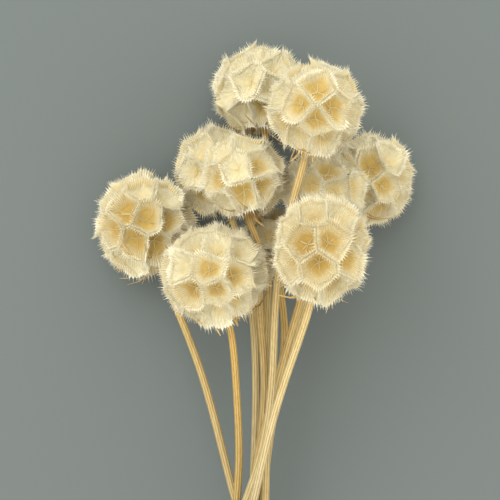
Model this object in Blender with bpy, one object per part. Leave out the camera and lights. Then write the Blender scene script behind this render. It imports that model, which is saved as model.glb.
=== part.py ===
# A hand-tied bunch of bleached, preserved scabiosa seed heads, lying on its back.
# Each flower is one ball of papery funnel cups on a ribbed straw stem with a whorl of bracts.
# X runs across the bunch, +Y from the cut ends to the heads, +Z up; the bunch lies on Z = 0.
import math

import bmesh
import bpy
import numpy as np
from mathutils import Vector

MM = 0.001

# Stems
STEM_RADIUS = 1.6 * MM
STEM_SIDES = 6
STEM_GAP = 0.45 * MM
HEAD_GAP = 1.0 * MM
TIE_Y = -118 * MM
TIE_X = -1.5 * MM
TIE_Z = 29 * MM
CUT_Y = -222 * MM
STATION_STEP = 13 * MM
HIGHEST_STATION = 80 * MM
SETTLE_ROUNDS = 500
# The last rounds only clear what still touches
CLEARING_ROUNDS = 30
SETTLE_PUSH = 0.5
# A stem is straight below the tie; above it, it bends by these powers of the height over the tie,
# and it is held to the way it leaves its head
BEND_POWERS = (2, 3, 4, 5)
HEAD_HOLD = 8
TIE_GRIP = 0.06
# Leaning stems need more room across than upright ones
LEAN_ROOM = 1.08
# Where a stem leaves its head's ball and where it is already straight inside it
NECK_SHARE = 1.1
HEAD_ENTRY_SHARE = 0.6

# Seed heads, in shares of the head's radius where no unit is given
CORE_SHARE = 0.34
CUP_FLOOR_SHARE = 0.46
CUP_ROOT_SHARE = 0.62
RIM_SHARE = 0.955
RIM_THICKNESS = 0.75 * MM
CUPS_ON_WIDEST = 38
WIDEST_RADIUS = 20.6 * MM
STEM_CLEARING = math.radians(55)
# The cups push each other apart round the ball, and the stem pushes them twice as hard
CUP_ROUNDS = 300
CUP_STEP = 0.3
CUP_SOFTNESS = 1e-3
STEM_PUSH = 2
# The seen cups stay near where they are seen; none of them faces further back than this
SEEN_HOLD = 0.12
SEEN_RISE = 0.04

# Bracts under each head
COLLAR_RADIUS = 2.5 * MM
COLLAR_HEIGHT = 1.6 * MM
# Beyond the core's own flat underside, which already lies about 0.25 mm back
COLLAR_GAP = 0.05 * MM
BRACT_INSET = 0.2 * MM
BRACT_REACH = math.radians(20)
BRACT_BEND = 0.6
# How far down the head each step of a bract reaches, and its width as a share of the step before
BRACT_STEPS = ((0.50, 0.95), (0.72, 0.85), (0.93, 0.55))

# Twine round the waist of the bunch
TWINE_HALF_WIDTH = 2.7 * MM
TWINE_THICKNESS = 1.5 * MM
TWINE_GROOVE = 0.5 * MM
TIE_GAP = 0.35 * MM
TIE_SIDES = 18
KNOT_SIZE = 2.6 * MM
KNOT_SHAPE = (1, 1.05, 0.75)

CREASE = math.radians(60)
TINY = 1e-9

# Every flower: the middle of its head, its radius to the cup rims, how many times as long as wide the
# head is, as some have larger cups at their top and bottom, the way its stem leaves it in the XY
# plane, where its stem passes below the heads (X at each height of PASS_Y), and the places of its
# front cups as shares of the radius to the right of and above the middle.
# A height of None is a head that rests on the surface. All in millimetres.
FLOWERS = {
    "a": {
        "middle": (4.3, 65.3), "height": None, "radius": 18.3, "tall": 1.0,
        "leaves": (2.0, -19.2), "passes": (7, 5.6, 5),
        "cups": [(-0.2, 0.15), (0, -0.4), (-0.65, -0.25), (0.4, 0.4), (-0.1, -0.95), (0.1, 0.8),
                 (-0.5, 0.6), (0.65, -0.05)],
    },
    "b": {
        "middle": (25.2, 54.6), "height": 68.0, "radius": 18.0, "tall": 1.0,
        "leaves": (-3.9, -20.0), "passes": (10, 6.6, 3.5),
        "cups": [(-0.35, -0.1), (0.1, 0.4), (0.4, 0.05), (-0.1, -0.6), (-0.7, -0.5), (0.5, -0.7),
                 (0.85, -0.25), (-0.2, 0.8), (0.6, 0.5), (-0.85, 0.15)],
    },
    "c": {
        "middle": (-43.1, 9.8), "height": None, "radius": 19.4, "tall": 1.06,
        "leaves": (7.6, -20.8), "passes": (-28, -15.6, -8),
        "cups": [(0.05, 0.75), (-0.35, 0.35), (0.2, 0.15), (0.6, 0.5), (0.8, -0.05), (-0.2, -0.35),
                 (0.35, -0.45), (-0.7, -0.15), (-0.75, 0.6), (-0.2, -0.9), (0.55, -0.85)],
    },
    "d": {
        "middle": (-15.0, 32.6), "height": None, "radius": 15.4, "tall": 1.14,
        "leaves": (6.6, -15.6), "passes": (1, 3.2, 0.5),
        "cups": [(-0.25, 0.5), (-0.45, -0.55), (-0.55, -0.05), (0.2, 0.7), (0.45, 0.15)],
    },
    "e": {
        "middle": (-2.6, 28.9), "height": 51.5, "radius": 16.0, "tall": 1.0,
        "leaves": (1.0, -18.3), "passes": (4, 4.8, 3),
        "cups": [(0.5, 0.35), (-0.05, -0.5), (-0.75, -0.2), (0.55, -0.35), (-0.25, 0.3), (0.1, 0.85),
                 (-0.55, 0.65), (-0.35, -0.85)],
    },
    "f": {
        "middle": (-13.7, -9.8), "height": 57.0, "radius": 20.0, "tall": 1.0,
        "leaves": (6.7, -21.8), "passes": (-7, -4.8, -4.5),
        "cups": [(-0.1, 0.15), (0.15, 0.65), (-0.7, 0.25), (-0.55, 0.6), (0.55, 0.05), (0.05, -0.45),
                 (-0.7, -0.2), (-0.45, -0.75), (0.65, -0.55), (0.55, 0.6), (0.1, -0.9), (-0.2, 0.95)],
    },
    "g": {
        "middle": (27.2, 0.0), "height": 78.0, "radius": 18.0, "tall": 1.14,
        "leaves": (-3.1, -19.5), "passes": (22, 9.2, 3),
        "cups": [(-0.15, 0.65), (-0.45, 0.1), (0.2, 0.15), (-0.15, -0.45), (0.45, 0.6), (0.3, -0.65),
                 (0.6, -0.15), (-0.65, -0.4), (-0.65, 0.5), (0.75, 0.3)],
    },
    "h": {
        "middle": (48.8, 29.1), "height": None, "radius": 17.6, "tall": 1.05,
        "leaves": (-9.6, -14.0), "passes": (20, 9.4, 6),
        "cups": [(0, 0.4), (0.35, -0.2), (0.15, -0.8), (0.7, -0.6), (0.45, 0.8), (-0.55, 0.3),
                 (0.85, 0.05)],
    },
    "i": {
        "middle": (29.5, 23.5), "height": 46.0, "radius": 16.5, "tall": 1.0,
        "leaves": (-3.3, -17.6), "passes": (18, 8.2, 6),
        "cups": [(0.05, 0.5), (0.85, -0.05), (0.5, -0.65), (-0.5, 0.2)],
    },
    "k": {
        "middle": (10.5, 2.5), "height": 33.5, "radius": 13.6, "tall": 1.0,
        "leaves": (1.2, -16.2), "passes": (15, 6.8, 2),
        "cups": [(-0.75, 0.8), (-0.2, 0.9), (-0.75, -0.1), (-0.35, -0.8)],
    },
}
PASS_Y = (-30 * MM, -66 * MM, -90 * MM)
PASS_PULL = 0.3

# The stems cross in a spiral at the tie: round its middle in the order of their heads, one inside.
SPIRAL_ORDER = ("c", "d", "a", "i", "k", "h", "b", "g", "f")
SPIRAL_START = math.radians(-93)
SPIRAL_RADIUS = 5.0 * MM

MATERIALS = {
    "paper_cups": ((0.80, 0.72, 0.50), 0.75),
    "straw_stem": ((0.66, 0.50, 0.26), 0.6),
    "jute_twine": ((0.45, 0.31, 0.16), 0.85),
}


def make_material(name):
    """Dry plant matter: dull, with no metal in it."""
    colour, roughness = MATERIALS[name]
    material = bpy.data.materials.new(name)
    material.use_nodes = True
    shader = material.node_tree.nodes["Principled BSDF"]
    shader.inputs["Base Color"].default_value = (*colour, 1)
    shader.inputs["Roughness"].default_value = roughness
    shader.inputs["Metallic"].default_value = 0
    return material


def unit(v):
    return v / np.linalg.norm(v, axis=-1, keepdims=True)


def stem_axis(flower):
    """The way from a head's middle into its stem, aimed at the tie's height."""
    dx, dy = unit(np.array(flower["leaves"]))
    x, y = flower["middle"]
    height = flower["radius"] if flower["height"] is None else flower["height"]
    fall = (TIE_Z / MM - height) / (y - TIE_Y / MM)
    return unit(np.array([dx, dy, -fall * dy]))


def cup_directions(flower):
    """Ways from the head's middle to each cup: the cups seen in front, and the rest spread evenly."""
    axis = stem_axis(flower)
    count = round(CUPS_ON_WIDEST * (flower["radius"] * MM / WIDEST_RADIUS) ** 2)
    seen = np.array([(x, y, math.sqrt(max(SEEN_RISE, 1 - x * x - y * y))) for x, y in flower["cups"]])
    seen = unit(seen)
    turns = np.arange(count) * math.pi * (3 - math.sqrt(5))
    rise = 1 - (2 * np.arange(count) + 1) / count
    ring = np.sqrt(1 - rise**2)
    spread = np.stack([ring * np.cos(turns), ring * np.sin(turns), rise], 1)
    nearest = (spread @ seen.T).max(1)
    free = spread[np.argsort(nearest, kind="stable")[: count - len(seen)]]
    ways = np.concatenate([seen, free])
    held = np.arange(count) < len(seen)
    for i in range(CUP_ROUNDS):
        apart = ways[:, None] - ways[None]
        push = (apart / (np.linalg.norm(apart, axis=2, keepdims=True) ** 3 + CUP_SOFTNESS)).sum(1)
        from_stem = ways - axis
        distance = np.linalg.norm(from_stem, axis=1, keepdims=True)
        push += STEM_PUSH * from_stem / (distance**3 + CUP_SOFTNESS)
        push -= (push * ways).sum(1, keepdims=True) * ways
        step = CUP_STEP / count * (1 - i / CUP_ROUNDS)
        push = np.where(held[:, None], push * SEEN_HOLD, push)
        ways = unit(ways + push * step)
        off = np.arccos(np.clip(ways @ axis, -1, 1))
        side = unit(ways - (ways @ axis)[:, None] * axis)
        cleared = math.cos(STEM_CLEARING) * axis + math.sin(STEM_CLEARING) * side
        ways = np.where((off < STEM_CLEARING)[:, None], cleared, ways)
    return ways, axis


def cells_of(ways):
    """Splits the ball between its cups: each cell's corners in order, and which cells meet there."""
    bm = bmesh.new()
    for way in ways:
        bm.verts.new(way)
    bmesh.ops.convex_hull(bm, input=bm.verts[:])
    bm.verts.ensure_lookup_table()
    bm.verts.index_update()
    corners = []
    meets = []
    for face in bm.faces:
        a, b, c = (np.array(v.co) for v in face.verts)
        normal = unit(np.cross(b - a, c - a))
        corners.append(normal if normal @ a > 0 else -normal)
        meets.append([v.index for v in face.verts])
    bm.free()
    corners = np.array(corners)
    rings = []
    for i, way in enumerate(ways):
        mine = [f for f, cells in enumerate(meets) if i in cells]
        side = np.cross(way, np.eye(3)[np.abs(way).argmin()])
        up = np.cross(way, side)
        angle = [math.atan2((corners[f] - way) @ up, (corners[f] - way) @ side) for f in mine]
        rings.append([f for _, f in sorted(zip(angle, mine))])
    return corners, meets, rings


def stretched(spot, radius, tall):
    """A spot of a head after its stretch along Y: none on the core, all of it at the rims."""
    share = (np.linalg.norm(spot) / radius - CORE_SHARE) / (1 - CORE_SHARE)
    return spot * (1, 1 + (tall - 1) * max(0, share), 1)


def head_mesh(flower):
    """One head: a small core with a funnel cup standing on every cell but the stem's."""
    ways, axis = cup_directions(flower)
    ways = np.concatenate([ways, axis[None]])
    corners, meets, rings = cells_of(ways)
    radius = flower["radius"] * MM
    stem_cell = len(ways) - 1
    bm = bmesh.new()
    root = {}
    for i, ring in enumerate(rings):
        for f in ring:
            way = unit(ways[i] + CUP_ROOT_SHARE * (corners[f] - ways[i]))
            root[i, f] = bm.verts.new(way * radius * CORE_SHARE)
    for i, ring in enumerate(rings):
        pairs = list(zip(ring, ring[1:] + ring[:1]))
        if i == stem_cell:
            bm.faces.new([root[i, f] for f in ring])
            continue
        outer = {f: unit(ways[i] + RIM_SHARE * (corners[f] - ways[i])) * radius for f in ring}
        inner = {}
        for f in ring:
            inward = outer[f] @ ways[i] * ways[i] - outer[f]
            inner[f] = outer[f] + unit(inward) * RIM_THICKNESS
        outer = {f: bm.verts.new(stretched(p, radius, flower["tall"])) for f, p in outer.items()}
        inner = {f: bm.verts.new(stretched(p, radius, flower["tall"])) for f, p in inner.items()}
        floor = bm.verts.new(stretched(ways[i] * radius * CUP_FLOOR_SHARE, radius, flower["tall"]))
        for f, g in pairs:
            bm.faces.new((root[i, f], root[i, g], outer[g], outer[f]))
            bm.faces.new((outer[f], outer[g], inner[g], inner[f]))
            bm.faces.new((inner[f], inner[g], floor))
    for f, cells in enumerate(meets):
        bm.faces.new([root[i, f] for i in cells])
    for f, cells in enumerate(meets):
        for g in range(f):
            shared = [i for i in cells if i in meets[g]]
            if len(shared) == 2:
                i, j = shared
                bm.faces.new((root[i, f], root[i, g], root[j, g], root[j, f]))
    bmesh.ops.triangulate(bm, faces=bm.faces[:])
    bmesh.ops.recalc_face_normals(bm, faces=bm.faces[:])
    lowest = min(v.co.z for v in bm.verts)
    return bm, axis, lowest


def nearest_on(start, end):
    """For each stretch from start to end: how far along it, and the spot, that lies nearest to zero."""
    run = end - start
    share = np.clip(-(start * run).sum(1) / np.maximum((run * run).sum(1), TINY**2), 0, 1)
    return share, start + share[:, None] * run


def push_apart(gaps, room):
    """How far each station moves so that no stretch between two stations comes nearer to zero than room."""
    share, spot = nearest_on(gaps[:-1], gaps[1:])
    distance = np.linalg.norm(spot, axis=1)
    short = np.maximum(0, room - distance) * SETTLE_PUSH
    push = spot / np.maximum(distance, TINY)[:, None] * short[:, None]
    move = np.zeros_like(gaps)
    move[:-1] += push * (1 - share)[:, None]
    move[1:] += push * share[:, None]
    return move


def settle_stems(heads, axes):
    """Lays every stem as one easy curve from its head through the tie to its cut end, clear of the rest."""
    stations = np.arange(CUT_Y, HIGHEST_STATION, STATION_STEP)
    tie_at = np.abs(stations - TIE_Y).argmin()
    tie = np.array([TIE_X, stations[tie_at], TIE_Z])
    across = [0, 2]
    lines = {}
    ends = {}
    easing = {}
    for name in FLOWERS:
        middle, radius = heads[name]
        slot = tie.copy()
        if name in SPIRAL_ORDER:
            turn = SPIRAL_START + 2 * math.pi * SPIRAL_ORDER.index(name) / len(SPIRAL_ORDER)
            slot += SPIRAL_RADIUS * np.array([math.cos(turn), 0, math.sin(turn)])
        neck = middle + axes[name] * radius * NECK_SHARE
        ends[name] = np.stack([neck, middle + axes[name] * radius * HEAD_ENTRY_SHARE])
        ys = stations[stations < neck[1] - STATION_STEP / 2]
        below = neck + (ys[:, None] - neck[1]) * (slot - neck) / (slot[1] - neck[1])
        lines[name] = np.concatenate([below, ends[name]])
        rise = (lines[name][:, 1] - TIE_Y) / abs(TIE_Y)
        bends = [np.maximum(rise, 0) ** power for power in BEND_POWERS]
        powers = np.stack([np.ones(len(rise)), rise, *bends], 1)
        weights = np.ones(len(powers))
        weights[-2:] = HEAD_HOLD
        easing[name] = powers @ (np.linalg.pinv(powers * weights[:, None]) * weights)
    names = list(FLOWERS)
    for turn in range(SETTLE_ROUNDS + CLEARING_ROUNDS):
        settling = turn < SETTLE_ROUNDS
        for name, line in lines.items():
            if settling:
                for y, x in zip(PASS_Y, FLOWERS[name]["passes"]):
                    at = np.abs(line[:, 1] - y).argmin()
                    line[at, 0] += (x * MM - line[at, 0]) * PASS_PULL
                line[tie_at] += (tie - line[tie_at]) * TIE_GRIP
            for other, (middle, radius) in heads.items():
                if other != name:
                    move = push_apart(line[:-1] - middle, radius + STEM_RADIUS + HEAD_GAP)
                    line[:-1, across] += move[:, across]
        for i, first in enumerate(names):
            for second in names[i + 1:]:
                count = min(len(lines[first]), len(lines[second])) - 2
                gaps = (lines[first][:count] - lines[second][:count])[:, across]
                move = push_apart(gaps, (2 * STEM_RADIUS + STEM_GAP) * LEAN_ROOM)
                lines[first][:count, across] += move
                lines[second][:count, across] -= move
        for name, line in lines.items():
            line[:, 2] = np.maximum(line[:, 2], STEM_RADIUS)
            line[-2:] = ends[name]
            if settling:
                line[:, across] = easing[name] @ line[:, across]
    return lines


def ring_at(bm, point, along, radius, sides):
    """A ring of points square to the stem."""
    along = Vector(along).normalized()
    across = along.cross(Vector((0, 0, 1))).normalized()
    up = across.cross(along)
    ring = []
    for i in range(sides):
        angle = 2 * math.pi * i / sides
        out = across * math.cos(angle) + up * math.sin(angle)
        ring.append(bm.verts.new(Vector(point) + out * radius))
    return ring


def stem_mesh(line, middle, radius, axis):
    """One stem from its cut end to the collar under the head's core, with bent-back bracts."""
    bm = bmesh.new()
    top = middle + axis * (radius * CORE_SHARE + COLLAR_GAP)
    points = list(line) + [top + axis * COLLAR_HEIGHT * 2, top + axis * COLLAR_HEIGHT, top]
    radii = [STEM_RADIUS] * (len(line) + 1) + [COLLAR_RADIUS] * 2
    rings = []
    for i, (point, size) in enumerate(zip(points, radii)):
        before = points[max(0, i - 1)]
        after = points[min(len(points) - 1, i + 1)]
        along = after - before
        if i == 0:
            along = np.array([0, 1, 0])
        rings.append(ring_at(bm, point, along, size, STEM_SIDES))
    bm.faces.new(rings[0])
    bm.faces.new(rings[-1])
    for low, high in zip(rings, rings[1:]):
        for i in range(STEM_SIDES):
            j = (i + 1) % STEM_SIDES
            bm.faces.new((low[i], low[j], high[j], high[i]))
    bmesh.ops.recalc_face_normals(bm, faces=bm.faces[:])
    collar = set(rings[-1]) | set(rings[-2])
    sides = [f for f in bm.faces if all(v in collar for v in f.verts) and len(f.verts) == 4]
    bmesh.ops.inset_individual(bm, faces=sides, thickness=BRACT_INSET)
    down = Vector(axis)
    for step, (reach, width) in enumerate(BRACT_STEPS):
        for i, face in enumerate(sides):
            centre = face.calc_center_median()
            out = centre - Vector(middle)
            out -= out.dot(down) * down
            out.normalize()
            side = down.cross(out)
            way = down * math.cos(BRACT_REACH) + out * math.sin(BRACT_REACH)
            goal = Vector(middle) + way * radius * reach
            sides[i] = bmesh.ops.extrude_discrete_faces(bm, faces=[face])["faces"][0]
            for v in sides[i].verts:
                local = v.co - centre
                depth = -local.dot(down) * BRACT_BEND if step == 0 else local.dot(out)
                v.co = goal + side * local.dot(side) * width + out * depth
    bmesh.ops.triangulate(bm, faces=bm.faces[:])
    bmesh.ops.recalc_face_normals(bm, faces=bm.faces[:])
    return bm


def stems_at(lines, y):
    """Where each stem crosses the plane Y = y."""
    return np.array([[np.interp(y, line[:, 1], line[:, k]) for k in (0, 2)] for line in lines.values()])


def tie_outline(lines):
    """The corners of a taut loop round the stems at the waist."""
    spots = np.concatenate([stems_at(lines, TIE_Y + y) for y in (-TWINE_HALF_WIDTH, 0, TWINE_HALF_WIDTH)])
    centre = spots.mean(0)
    angles = 2 * math.pi * np.arange(TIE_SIDES) / TIE_SIDES
    ways = np.stack([np.cos(angles), np.sin(angles)], 1)
    reach = ((spots - centre) @ ways.T).max(0) + STEM_RADIUS * LEAN_ROOM + TIE_GAP
    corners = []
    for i in range(TIE_SIDES):
        j = (i + 1) % TIE_SIDES
        corners.append(centre + np.linalg.solve(ways[[i, j]], reach[[i, j]]))
    return centre, np.array(corners)


def tie_mesh(lines):
    """Three turns of twine side by side, as one band with three rounded ridges, and a knot on top."""
    centre, corners = tie_outline(lines)
    lane = TWINE_HALF_WIDTH / 3
    rises = [0, TWINE_THICKNESS, TWINE_GROOVE, TWINE_THICKNESS, TWINE_GROOVE, TWINE_THICKNESS, 0]
    profile = [((i - 3) * lane, rise) for i, rise in enumerate(rises)]
    bm = bmesh.new()
    rings = []
    for corner in corners:
        out = unit(corner - centre)
        ring = []
        for y, rise in profile:
            x, z = corner + out * rise
            ring.append(bm.verts.new((x, TIE_Y + y, z)))
        rings.append(ring)
    for this, after in zip(rings, rings[1:] + rings[:1]):
        for i in range(len(profile)):
            j = (i + 1) % len(profile)
            bm.faces.new((this[i], this[j], after[j], after[i]))
    bmesh.ops.triangulate(bm, faces=bm.faces[:])
    bmesh.ops.recalc_face_normals(bm, faces=bm.faces[:])
    top = corners[corners[:, 1].argmax()]
    return bm, Vector((top[0], TIE_Y, top[1] + TWINE_THICKNESS))


def place(name, bm, material, smooth):
    """Makes the mesh an object of its own, with its middle as its origin."""
    mesh = bpy.data.meshes.new(name)
    middle = sum((v.co for v in bm.verts), Vector()) / len(bm.verts)
    bmesh.ops.translate(bm, verts=bm.verts[:], vec=-middle)
    bm.to_mesh(mesh)
    bm.free()
    thing = bpy.data.objects.new(name, mesh)
    bpy.context.scene.collection.objects.link(thing)
    thing.location = middle
    mesh.materials.append(material)
    if smooth:
        mesh.shade_smooth()
        mesh.set_sharp_from_angle(angle=CREASE)
    return thing


def knot_object(spot):
    """A half knot where the twine's ends meet."""
    bm = bmesh.new()
    bmesh.ops.create_icosphere(bm, subdivisions=1, radius=KNOT_SIZE)
    bmesh.ops.scale(bm, verts=bm.verts[:], vec=KNOT_SHAPE)
    knot = bpy.data.objects.new("knot", bpy.data.meshes.new("knot"))
    bm.to_mesh(knot.data)
    bm.free()
    bpy.context.scene.collection.objects.link(knot)
    knot.location = spot
    return knot


def union(thing, other):
    """Joins another object into this one and removes it."""
    join = thing.modifiers.new("join", "BOOLEAN")
    join.operation = "UNION"
    join.object = other
    bpy.context.view_layer.objects.active = thing
    with bpy.context.temp_override(object=thing, active_object=thing):
        bpy.ops.object.modifier_apply(modifier=join.name)
    bpy.data.objects.remove(other)


def stand_on_origin():
    """Moves the whole bunch so that the middle of its underside is the origin."""
    things = list(bpy.data.objects)
    spots = np.array([v.co + thing.location for thing in things for v in thing.data.vertices])
    low = spots.min(0)
    middle = (low + spots.max(0)) / 2
    for thing in things:
        thing.location -= Vector((middle[0], middle[1], low[2]))


def build():
    for thing in list(bpy.data.objects):
        bpy.data.objects.remove(thing)
    materials = {name: make_material(name) for name in MATERIALS}
    heads = {}
    axes = {}
    meshes = {}
    for name, flower in FLOWERS.items():
        bm, axis, lowest = head_mesh(flower)
        x, y = flower["middle"]
        z = -lowest if flower["height"] is None else flower["height"] * MM
        heads[name] = (np.array([x * MM, y * MM, z]), flower["radius"] * MM)
        axes[name] = axis
        meshes[name] = bm
    lines = settle_stems(heads, axes)
    for name, bm in meshes.items():
        middle, radius = heads[name]
        bmesh.ops.translate(bm, verts=bm.verts[:], vec=Vector(middle))
        place("head_" + name, bm, materials["paper_cups"], False)
        stem = stem_mesh(lines[name], middle, radius, axes[name])
        place("stem_" + name, stem, materials["straw_stem"], True)
    bm, spot = tie_mesh(lines)
    tie = place("tie", bm, materials["jute_twine"], True)
    union(tie, knot_object(spot))
    stand_on_origin()


build()
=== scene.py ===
# %% [markdown]
# # A bunch of preserved scabiosa seed heads
#
# This is a hand-tied bunch of dried and bleached seed heads of a scabiosa that is grown for them.
# Every head is a ball of papery funnel cups on a ribbed straw stem. The bunch lies on its back and
# the camera looks straight down on it.
#
# The plain solids of the bunch are loaded first. They fix where every head and stem is, and each
# piece made below takes the place of one of them. The pieces could be placed by eye as well, but
# only the solids keep size and layout exact.

import math

import bmesh
import bpy
import numpy as np
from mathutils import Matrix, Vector


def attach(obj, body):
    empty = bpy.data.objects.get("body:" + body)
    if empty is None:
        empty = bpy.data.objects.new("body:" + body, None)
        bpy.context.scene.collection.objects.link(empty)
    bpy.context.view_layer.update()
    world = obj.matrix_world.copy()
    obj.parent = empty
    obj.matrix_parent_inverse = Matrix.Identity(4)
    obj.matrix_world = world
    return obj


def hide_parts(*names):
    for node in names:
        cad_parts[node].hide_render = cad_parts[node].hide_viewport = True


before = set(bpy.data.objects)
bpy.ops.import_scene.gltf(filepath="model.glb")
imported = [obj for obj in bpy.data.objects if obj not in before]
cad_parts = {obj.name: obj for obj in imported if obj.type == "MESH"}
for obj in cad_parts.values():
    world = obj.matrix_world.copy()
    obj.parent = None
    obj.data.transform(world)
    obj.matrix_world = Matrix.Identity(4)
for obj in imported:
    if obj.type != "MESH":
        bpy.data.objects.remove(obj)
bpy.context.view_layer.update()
MM = 0.001

# %% [markdown]
# ## Where the heads are
#
# Ten seed heads make up the bunch. They could be copies of one good head, but then the same cups
# would be seen ten times over, so every head has its own entry in this table.
#
# A head is known by its middle, its radius to the rims of its cups, how much longer than wide it is, the
# way its stem leaves it, how wide its cups flare, how pale they are inside and how much tan is laid over
# them (all 0 to 1), which of its front cups are golden inside, and the places of the cups that face the
# viewer, in shares of the radius to the right and up. Paleness and tan are partly each head's own colour
# and partly painted light: heads that lie low are painted paler and the high ones, g most, carry more
# tan, which evens out how the lamp lights them, and k, deep in the others' shade, is painted darker as
# painted shade. All lengths are in millimetres. A height of None is a head that rests on the surface.

# %% The heads
HEADS = {
    "a": {
        "middle": (4.3, 65.3), "height": None, "radius": 18.3, "tall": 1.0, "leaves": (2.0, -19.2),
        "flare": 0.9, "pale": 1.0, "tint": 0.0, "golden": (1,),
        "cups": [(-0.2, 0.15), (0, -0.4), (-0.65, -0.25), (0.4, 0.4), (-0.1, -0.95), (0.1, 0.8),
                 (-0.5, 0.6), (0.65, -0.05)],
    },
    "b": {
        "middle": (25.2, 54.6), "height": 68.0, "radius": 18.0, "tall": 1.0, "leaves": (-3.9, -20.0),
        "flare": 0.65, "pale": 0.6, "tint": 0.12, "golden": (0, 1, 2, 3, 4, 5),
        "cups": [(-0.35, -0.1), (0.1, 0.4), (0.4, 0.05), (-0.1, -0.6), (-0.7, -0.5), (0.5, -0.7),
                 (0.85, -0.25), (-0.2, 0.8), (0.6, 0.5), (-0.85, 0.15)],
    },
    "c": {
        "middle": (-43.1, 9.8), "height": None, "radius": 19.4, "tall": 1.06, "leaves": (7.6, -20.8),
        "flare": 0.4, "pale": 0.6, "tint": 0.0, "golden": (1, 2, 4, 5, 6, 7, 10),
        "cups": [(0.05, 0.75), (-0.35, 0.35), (0.2, 0.15), (0.6, 0.5), (0.8, -0.05), (-0.2, -0.35),
                 (0.35, -0.45), (-0.7, -0.15), (-0.75, 0.6), (-0.2, -0.9), (0.55, -0.85)],
    },
    "d": {
        "middle": (-15.0, 32.6), "height": None, "radius": 15.4, "tall": 1.14, "leaves": (6.6, -15.6),
        "flare": 0.7, "pale": 0.85, "tint": 0.08, "golden": (1,),
        "cups": [(-0.25, 0.5), (-0.45, -0.55), (-0.55, -0.05), (0.2, 0.7), (0.45, 0.15)],
    },
    "e": {
        "middle": (-2.6, 28.9), "height": 51.5, "radius": 16.0, "tall": 1.0, "leaves": (1.0, -18.3),
        "flare": 0.7, "pale": 0.75, "tint": 0.0, "golden": (0, 1, 2, 3),
        "cups": [(0.5, 0.35), (-0.05, -0.5), (-0.75, -0.2), (0.55, -0.35), (-0.25, 0.3), (0.1, 0.85),
                 (-0.55, 0.65), (-0.35, -0.85)],
    },
    "f": {
        "middle": (-13.7, -9.8), "height": 57.0, "radius": 20.0, "tall": 1.0, "leaves": (6.7, -21.8),
        "flare": 1.0, "pale": 0.7, "tint": 0.08, "golden": (0, 4, 5, 6),
        "cups": [(-0.1, 0.15), (0.15, 0.65), (-0.7, 0.25), (-0.55, 0.6), (0.55, 0.05), (0.05, -0.45),
                 (-0.7, -0.2), (-0.45, -0.75), (0.65, -0.55), (0.55, 0.6), (0.1, -0.9), (-0.2, 0.95)],
    },
    "g": {
        "middle": (27.2, 0.0), "height": 78.0, "radius": 18.0, "tall": 1.14, "leaves": (-3.1, -19.5),
        "flare": 0.75, "pale": 0.5, "tint": 0.24, "golden": (1, 2, 3, 5, 6),
        "cups": [(-0.15, 0.65), (-0.45, 0.1), (0.2, 0.15), (-0.15, -0.45), (0.45, 0.6), (0.3, -0.65),
                 (0.6, -0.15), (-0.65, -0.4), (-0.65, 0.5), (0.75, 0.3)],
    },
    "h": {
        "middle": (48.8, 29.1), "height": None, "radius": 17.6, "tall": 1.05, "leaves": (-9.6, -14.0),
        "flare": 0.65, "pale": 0.65, "tint": 0.0, "golden": (0, 1, 2, 3),
        "cups": [(0, 0.4), (0.35, -0.2), (0.15, -0.8), (0.7, -0.6), (0.45, 0.8), (-0.55, 0.3),
                 (0.85, 0.05)],
    },
    "i": {
        "middle": (29.5, 23.5), "height": 46.0, "radius": 16.5, "tall": 1.0, "leaves": (-3.3, -17.6),
        "flare": 0.6, "pale": 0.6, "tint": 0.04, "golden": (0, 2),
        "cups": [(0.05, 0.5), (0.85, -0.05), (0.5, -0.65), (-0.5, 0.2)],
    },
    "k": {
        "middle": (10.5, 2.5), "height": 33.5, "radius": 13.6, "tall": 1.0, "leaves": (1.2, -16.2),
        "flare": 0.5, "pale": 0.3, "tint": 0.2, "golden": (0, 1, 2, 3),
        "cups": [(-0.75, 0.8), (-0.2, 0.9), (-0.75, -0.1), (-0.35, -0.8)],
    },
}
# Where the stems pass through the tie, in the same millimetres
TIE_Y = -118
TIE_Z = 29
SETTLING_ROUNDS = 400


def unit(v):
    return v / np.linalg.norm(v, axis=-1, keepdims=True)


def stem_axis(flower):
    """The way from a head's middle into its stem, aimed at the tie's height."""
    dx, dy = unit(np.array(flower["leaves"]))
    y = flower["middle"][1]
    height = flower["radius"] if flower["height"] is None else flower["height"]
    fall = (TIE_Z - height) / (y - TIE_Y)
    return unit(np.array([dx, dy, -fall * dy]))


def middle_of(name, radius, tall):
    """The middle of a plain head: the one point from which none of its corners is past the rims."""
    corners = np.array([v.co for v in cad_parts["head_" + name].data.vertices])
    middle = corners.mean(0)
    for _ in range(SETTLING_ROUNDS):
        away = (corners - middle) / (1, tall, 1)
        distance = np.linalg.norm(away, axis=1)
        past = distance > radius
        if past.any():
            middle = middle + (away * (1 - radius / distance)[:, None])[past].mean(0) * (1, tall, 1)
    return middle


for name, flower in HEADS.items():
    flower["axis"] = stem_axis(flower)
    flower["R"] = flower["radius"] * MM
    flower["at"] = middle_of(name, flower["R"], flower["tall"])
shift = np.array([f["at"][:2] - np.array(f["middle"]) * MM for f in HEADS.values()])
print("the table's zero lies at", (shift.mean(0) / MM).round(2), "mm")
print("and the heads agree on it to", (shift.std(0) / MM).round(3), "mm")

# %% [markdown]
# ## Where the cups are
#
# The cups of a ripe head push each other apart until they cover the ball evenly. A spiral would
# cover it evenly too, but it shows as rows. So the cups push each other here as well: those in front
# stay near the places read from the photo, the rest start on a spiral, and all of them move away
# from each other and from the stem in small steps.

# %% Spread the cups round each ball
# A head of this radius would have this many cups, and each head has as many as its surface allows
CUPS_ON_WIDEST = 38
WIDEST_RADIUS = 20.6
# No cup grows closer to the stem than this
STEM_CLEARING = math.radians(55)
STEM_PUSH = 2
CUP_ROUNDS = 300
CUP_STEP = 0.3
CUP_SOFTNESS = 1e-3
# The front cups give way to only this share of the push
SEEN_HOLD = 0.12
SEEN_RISE = 0.04


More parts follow.
